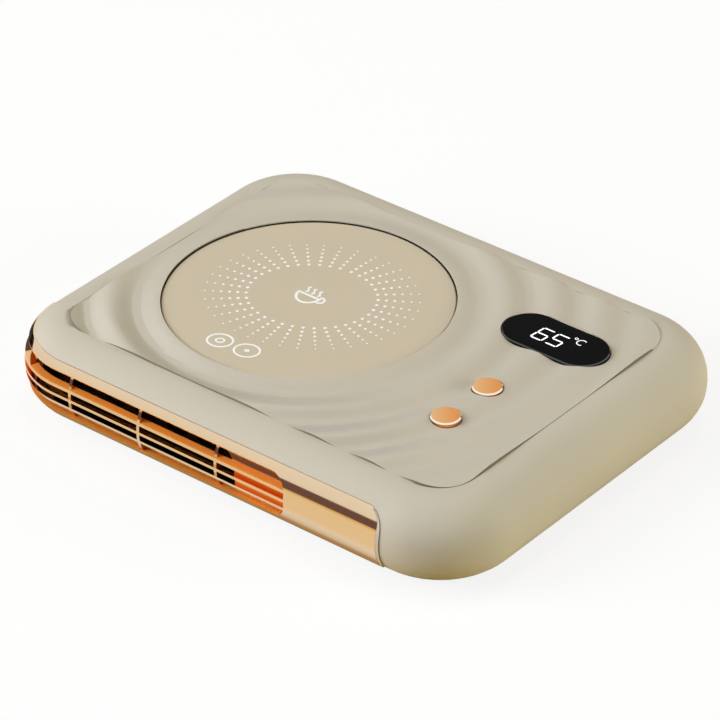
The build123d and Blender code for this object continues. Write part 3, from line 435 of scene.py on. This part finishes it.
# The window's lower ledge in the band is satin, and a satin bead runs below the window's upper lip.
band.data.materials.append(copper_satin)
ledge_from, ledge_to, above_window, flat_on, bead_thickness = 0.008, 0.0095, 0.02, 0.9, 0.0003
for face in band.data.polygons:
    if face.normal.z > flat_on and ledge_from < face.center.z < ledge_to:
        face.material_index = 1
bm = bmesh.new()
bm.from_mesh(band.data)
others = [f for f in bm.faces if f.normal.z > -flat_on or f.calc_center_median().z < above_window]
bmesh.ops.delete(bm, geom=others, context="FACES")
bmesh.ops.solidify(bm, geom=bm.faces[:], thickness=-bead_thickness)
bmesh.ops.recalc_face_normals(bm, faces=bm.faces)
bead = piece_from(bm, "window_bead", copper_satin)
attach(bead, "housing")

# --- Heating plate --------------------------------------------------------------------------------
# A disc of glass ceramic, some 95 mm across, with a matt tan coating on top.
# It is bedded in a dark silicone ring in the cover's well, over the spreader and the element.
plate_coat = coated("plate_coat", (0.605, 0.522, 0.395), 0.012, 0.5, 3800.0, 0.00003, specular=0.3)
plate = merged_copy("heating_plate", "heating_disc", plate_coat, crease=40)
flat_top = 0.999
for face in plate.data.polygons:
    face.use_smooth = face.normal.z < flat_top
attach(plate, "housing")

# --- Print on the plate ---------------------------------------------------------------------------
# White ceramic ink is screen-printed on the plate's coating.
# It shows a burst of shrinking dots, a steaming cup in the middle and two plain ring marks.
ink = coated("white_ink", (0.97, 0.97, 0.95), 0.01, 0.6, 5000.0, 0.00001, sheen=0.35, specular=0.6)


def film_from(bm, name, material, level):
    """Gives flat shapes a print's thickness and lays them on the surface at a level."""
    film = 0.00004
    bmesh.ops.solidify(bm, geom=bm.faces[:], thickness=film)
    bmesh.ops.recalc_face_normals(bm, faces=bm.faces)
    lowest = min(v.co.z for v in bm.verts)
    bmesh.ops.translate(bm, verts=bm.verts, vec=(0, 0, level - lowest))
    return piece_from(bm, name, material, smooth=False)


def print_on_plate(bm, name):
    """Makes flat shapes a mark in white ink on the plate."""
    mark = film_from(bm, name, ink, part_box("heating_plate")[1].z)
    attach(mark, "housing")


def hollow(bm, face, stroke):
    """Leaves a line of one stroke's width along the inside of a face's outline."""
    bmesh.ops.inset_region(bm, faces=[face], thickness=stroke, use_boundary=True, use_even_offset=True)
    bmesh.ops.delete(bm, geom=[face], context="FACES")


def cut_away(bm, point, side, dist=0.0):
    """Cuts away what lies on one side of an upright plane through a point."""
    bmesh.ops.bisect_plane(bm, geom=bm.verts[:] + bm.edges[:] + bm.faces[:], dist=dist, plane_co=point,
                           plane_no=side, clear_outer=True)


burst_middle = Vector((-0.02426, 0.00301, 0))
burst_turn = Matrix.Rotation(math.radians(18.41), 4, "Z")
rays, first_ray, ray_pitch, dots_per_ray, growth = 38, 83.4, 9.424, 6, 0.126
inner_half_length, inner_half_depth, first_dot, dot_loss = 0.02177, 0.01906, 0.000575, 0.000275
bm = bmesh.new()
for ray in range(rays):
    angle = math.radians(first_ray + ray_pitch * ray)
    for step in range(dots_per_ray):
        grow = 1 + growth * step
        offset = Vector((inner_half_length * grow * math.cos(angle),
                         inner_half_depth * grow * math.sin(angle), 0))
        dot = first_dot - dot_loss * (step / (dots_per_ray - 1)) ** 1.5
        place = Matrix.Translation(burst_middle + burst_turn @ offset)
        bmesh.ops.create_circle(bm, cap_ends=True, segments=14, radius=dot, matrix=place)
print_on_plate(bm, "plate_dots")

bowl_radius, bowl_depth, bowl_stroke, bowl_place = 0.0048, 1.13, 0.00092, (-0.0252, 0.0032, 0)
bm = bmesh.new()
bmesh.ops.create_circle(bm, cap_ends=True, segments=48, radius=bowl_radius)
cut_away(bm, (0, 0, 0), (0, 1, 0), dist=1e-5)
bmesh.ops.scale(bm, verts=bm.verts, vec=(1, bowl_depth, 1))
hollow(bm, bm.faces[:][0], bowl_stroke)
bmesh.ops.translate(bm, verts=bm.verts, vec=bowl_place)
print_on_plate(bm, "cup_bowl_mark")

handle_radius, handle_stroke, handle_place = 0.002, 0.0008, (-0.02055, 0.00237, 0)
handle_root, root_side = (-0.0006, 0, 0), (-1, -0.25, 0)
bm = bmesh.new()
bmesh.ops.create_circle(bm, cap_ends=True, segments=32, radius=handle_radius)
hollow(bm, bm.faces[:][0], handle_stroke)
cut_away(bm, handle_root, root_side)
bmesh.ops.translate(bm, verts=bm.verts, vec=handle_place)
print_on_plate(bm, "cup_handle_mark")

wisp_foot, wisp_height, wisp_stroke, wisp_sway, wisp_drift = 0.0038, 0.0034, 0.0008, 0.00042, 0.0003
bm = bmesh.new()
for middle in (-0.0276, -0.0252, -0.0228):
    for v in bmesh.ops.create_grid(bm, x_segments=1, y_segments=12, size=0.5)["verts"]:
        along = v.co.y + 0.5
        sway = wisp_sway * math.sin(along * 2 * math.pi) - wisp_drift * along
        v.co = Vector((middle + v.co.x * wisp_stroke + sway, wisp_foot + along * wisp_height, 0))
print_on_plate(bm, "steam_mark")

mark_radius, mark_stroke, inner_stroke, flatness = 0.0046, 0.00068, 0.0006, 0.875
squeeze = burst_turn @ Matrix.Diagonal((1, flatness, 1, 1)) @ burst_turn.inverted()
bm = bmesh.new()
for middle, inner_radius in (((-0.03025, -0.03567), 0.0017), ((-0.01967, -0.03490), 0.0009)):
    for radius, stroke in ((mark_radius, mark_stroke), (inner_radius, inner_stroke)):
        ring = bmesh.ops.create_circle(bm, cap_ends=True, segments=48, radius=radius,
                                       matrix=Matrix.Translation((*middle, 0)) @ squeeze)["verts"]
        hollow(bm, ring[0].link_faces[0], stroke)
print_on_plate(bm, "ring_marks")

# --- Display --------------------------------------------------------------------------------------
# A smoked acrylic lens with a polished bevel is set in a pocket of the cover, over a lamp module.
# It shows the temperature in white segments.
smoked = coated("smoked_acrylic", (0.005, 0.005, 0.0055), 0.1, 0.16, 3000.0, 0.000005, specular=0.012)
lens = merged_copy("display_lens", "display_glass", smoked, crease=25)
polished = coated("polished_acrylic", (0.012, 0.011, 0.012), 0.1, 0.05, 3000.0, 0.000002, specular=0.9)
lens.data.materials.append(polished)
bevel_from, bevel_to = 0.2, 0.95
for face in lens.data.polygons:
    if bevel_from < face.normal.z < bevel_to:
        face.material_index = 1
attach(lens, "housing")

lit_segments, make, wire = new_material("lit_segments")
at = make("ShaderNodeTexCoord")
dots = make("ShaderNodeTexNoise", {"Scale": 1500.0, "Detail": 1.0})
glow = ramp_of(make, ((0.0, (0.86, 0.88, 0.90)), (1.0, white)))
skin = make("ShaderNodeBsdfPrincipled", {"Base Color": (0.75, 0.77, 0.8, 1), "Roughness": 0.5,
                                         "Emission Strength": 0.75})
out = make("ShaderNodeOutputMaterial")
wire(at.outputs["Object"], dots.inputs["Vector"])
wire(dots.outputs["Fac"], glow.inputs["Fac"])
wire(glow.outputs["Color"], skin.inputs["Emission Color"])
wire(skin.outputs[0], out.inputs["Surface"])

stroke, digit_width, digit_height, slant, bar_gap = 0.00056, 0.0043, 0.0067, 0.11, 0.0002
# Each bar of a digit: middle across and up as a share of its size, and whether it stands.
bars = {
    "top": (0.5, 1.0, False), "middle": (0.5, 0.5, False), "foot": (0.5, 0.0, False),
    "upper_left": (0.0, 0.75, True), "lower_left": (0.0, 0.25, True), "lower_right": (1.0, 0.25, True),
}
bm = bmesh.new()
for corner, lit_bars in (
    (Vector((0.04624, 0.02711, 0)),
     ("top", "middle", "foot", "upper_left", "lower_left", "lower_right")),
    (Vector((0.05214, 0.02711, 0)),
     ("top", "middle", "foot", "upper_left", "lower_right")),
):
    for bar in lit_bars:
        across, upward, stands = bars[bar]
        length = digit_height / 2 if stands else digit_width
        verts = bmesh.ops.create_grid(bm, x_segments=2, y_segments=2, size=0.5)["verts"]
        for v in verts:
            tip = stroke / 2 if abs(v.co.x) > 0.4 and abs(v.co.y) > 0.4 else 0
            v.co.x = math.copysign(abs(v.co.x) * (length - bar_gap) - tip, v.co.x)
            v.co.y *= stroke
        if stands:
            bmesh.ops.rotate(bm, verts=verts, cent=(0, 0, 0),
                             matrix=Matrix.Rotation(math.pi / 2, 3, "Z"))
        bmesh.ops.translate(bm, verts=verts, vec=(across * digit_width, upward * digit_height, 0))
        for v in verts:
            v.co = corner + Vector((v.co.x + slant * v.co.y, v.co.y, 0))

degree_radius, degree_stroke, degree_place = 0.00062, 0.00022, (0.05885, 0.03505, 0)
sign_radius, sign_stroke, sign_opening = 0.0017, 0.00031, 0.0009
sign_x, sign_y, sign_width = 0.0615, 0.03405, 0.95
degree = bmesh.ops.create_circle(bm, cap_ends=True, segments=24, radius=degree_radius)["verts"]
bmesh.ops.translate(bm, verts=degree, vec=degree_place)
hollow(bm, degree[0].link_faces[0], degree_stroke)
sign = bmesh.new()
bmesh.ops.create_circle(sign, cap_ends=True, segments=36, radius=sign_radius)
hollow(sign, sign.faces[:][0], sign_stroke)
cut_away(sign, (sign_opening, 0, 0), (1, 0, 0))
for v in sign.verts:
    v.co = Vector((sign_x + v.co.x * sign_width + slant * v.co.y, sign_y + v.co.y, 0))
sign_mesh = bpy.data.meshes.new("sign")
sign.to_mesh(sign_mesh)
sign.free()
bm.from_mesh(sign_mesh)
bpy.data.meshes.remove(sign_mesh)
digits = film_from(bm, "display_digits", lit_segments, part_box("display_lens")[1].z)
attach(digits, "housing")

# --- Push buttons ---------------------------------------------------------------------------------
# Turned aluminium caps, copper-anodised, with a spun face and a diamond-cut bevel.
# Each is glued on a moulded stem, which presses a tactile switch's plunger.


def spun_and_painted_sheen(name, dark, light, middle):
    """Anodised face of one cap: fine turning marks, and a painted sheen, paler on the side toward the
    light and deeper on the other.
    """
    material, make, wire = new_material(name)
    at = make("ShaderNodeTexCoord")
    centred = make("ShaderNodeMapping", {"Location": (-middle[0], -middle[1], 0)})
    flat = make("ShaderNodeVectorMath", {1: (1, 1, 0)}, operation="MULTIPLY")
    reach = make("ShaderNodeVectorMath", operation="LENGTH")
    marks = make("ShaderNodeTexNoise", {"Scale": 9000.0, "Detail": 2.0}, noise_dimensions="1D")
    to_light_side = (-154, -128, 0)
    across = make("ShaderNodeVectorMath", {1: to_light_side}, operation="DOT_PRODUCT")
    side = make("ShaderNodeMapRange", {"From Min": -0.9, "From Max": 0.9})
    # Painted sheen: the colour runs from deep to pale toward the light side.
    sheen = ramp_of(make, ((0.0, dark), (1.0, light)))
    shade = make("ShaderNodeMapRange", {"To Min": 0.8, "To Max": 1.12})
    grooved = make("ShaderNodeVectorMath", operation="SCALE")
    raised = make("ShaderNodeBump", {"Strength": 0.3, "Distance": 0.00001})
    skin = make("ShaderNodeBsdfPrincipled", {"Metallic": 1.0, "Roughness": 0.34})
    out = make("ShaderNodeOutputMaterial")
    wire(at.outputs["Object"], centred.inputs["Vector"])
    wire(centred.outputs[0], flat.inputs[0])
    wire(centred.outputs[0], across.inputs[0])
    wire(flat.outputs[0], reach.inputs[0])
    wire(reach.outputs["Value"], marks.inputs["W"])
    wire(across.outputs["Value"], side.inputs["Value"])
    wire(side.outputs["Result"], sheen.inputs["Fac"])
    wire(marks.outputs["Fac"], shade.inputs["Value"])
    wire(sheen.outputs["Color"], grooved.inputs[0])
    wire(shade.outputs["Result"], grooved.inputs["Scale"])
    wire(grooved.outputs[0], skin.inputs["Base Color"])
    wire(marks.outputs["Fac"], raised.inputs["Height"])
    wire(raised.outputs["Normal"], skin.inputs["Normal"])
    wire(skin.outputs[0], out.inputs["Surface"])
    return material


copper_cut = plated("copper_cut", (0.96, 0.84, 0.68), 0.12, 0.00001)
copper_side = plated("copper_side", (0.84, 0.40, 0.14), 0.16, 0.00001)
on_bevel, on_side, top_from, bevel_from = 1, 2, 0.9, 0.3
for which in ("upper", "lower"):
    low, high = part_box(f"{which}_button_cap")
    middle = (low + high) / 2
    # The face runs from deep orange to a paler painted sheen on the side toward the light.
    face_material = spun_and_painted_sheen(f"copper_spun_painted_sheen_{which}", (0.80, 0.30, 0.055), (0.82, 0.50, 0.23), middle)
    cap = merged_copy(f"{which}_button_cap", f"{which}_cap", face_material, crease=20)
    cap.data.materials.append(copper_cut)
    cap.data.materials.append(copper_side)
    for face in cap.data.polygons:
        if face.normal.z < top_from:
            face.material_index = on_bevel if face.normal.z > bevel_from else on_side
    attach(cap, f"{which}_button")

# --- Underside: bottom cover and feet -------------------------------------------------------------
# A flat greige moulding closes the housing; it has nine intake slots below the control board, and six
# screws hold it. Four rubber feet are glued into its recesses.
spark = coated("spark_plastic", (0.50, 0.46, 0.39), 0.03, 0.7, 1800.0, 0.0001)
base = merged_copy("bottom_cover", "base_cover", spark)
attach(base, "housing")
rubber = coated("foot_rubber", (0.075, 0.073, 0.07), 0.12, 0.82, 1400.0, 0.0001, specular=0.3)
for corner in ("front_left", "front_right", "rear_left", "rear_right"):
    foot = merged_copy(f"{corner}_foot", f"{corner}_rubber_foot", rubber)
    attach(foot, "housing")

# --- Power inlet ----------------------------------------------------------------------------------
# A small oval socket: a shell of drawn steel with a tongue inside, soldered to the power board.
# It opens in a hole of the housing's rear wall.
steel = plated("zinc_steel", (0.60, 0.61, 0.63), 0.3, 0.00001, scratches=900.0)
socket = merged_copy("power_inlet", "power_socket", steel)
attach(socket, "housing")

# --- Parts inside the housing ---------------------------------------------------------------------
# Of these only the duct behind the grille, the silicone ring round the plate and the bottom cover's
# screws show. All keep their CAD shapes, with the finishes of the real parts, but the silicone ring is
# coloured in painted shade.
black_moulding = coated("black_moulding", (0.02, 0.02, 0.021), 0.1, 0.55, 2500.0, 0.00005)
duct_black = coated("duct_black", (0.006, 0.004, 0.0035), 0.1, 0.6, 2500.0, 0.00003, specular=0.04)
white_moulding = coated("white_moulding", (0.82, 0.82, 0.79), 0.02, 0.5, 2500.0, 0.00005)
# The ring is coloured as the plate's tan in shade: painted shade where it shows in the gap.
silicone_shade_tone = coated("silicone_ring_shade_tone", (0.22, 0.19, 0.14), 0.1, 0.75, 2000.0, 0.00005, specular=0.15)
rolled_aluminium = plated("rolled_aluminium", (0.76, 0.76, 0.77), 0.35, 0.00002, scratches=1200.0)
mica = coated("mica_film", (0.45, 0.36, 0.22), 0.15, 0.35, 700.0, 0.00003)
felt = coated("fibre_felt", (0.80, 0.79, 0.75), 0.06, 0.95, 900.0, 0.0003, sheen=0.5)
solder_mask = coated("solder_mask", (0.02, 0.15, 0.065), 0.1, 0.3, 1600.0, 0.00002)
red_sleeve = coated("red_sleeve", (0.50, 0.035, 0.025), 0.05, 0.6, 2200.0, 0.00004)
inside = {
    "vent_duct": duct_black, "plate_gasket": silicone_shade_tone, "heat_spreader": rolled_aluminium,
    "heating_element": mica, "insulation_pad": felt, "heater_tray": steel, "tray_screws": steel,
    "temperature_sensor": rolled_aluminium, "thermal_cutoff": white_moulding,
    "heater_leads": red_sleeve, "display_module": black_moulding, "control_board": solder_mask,
    "power_board": solder_mask, "board_cable": white_moulding, "inductor": black_moulding,
    "capacitor": rolled_aluminium, "buzzer": black_moulding, "board_screws": steel,
    "cover_screws": steel, "upper_button_stem": white_moulding, "lower_button_stem": white_moulding,
    "upper_switch_plunger": white_moulding, "lower_switch_plunger": white_moulding,
    "upper_switch_case": black_moulding, "lower_switch_case": black_moulding,
}
for node, finish in inside.items():
    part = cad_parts[node]
    part.data.materials.clear()
    part.data.materials.append(finish)

low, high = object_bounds()
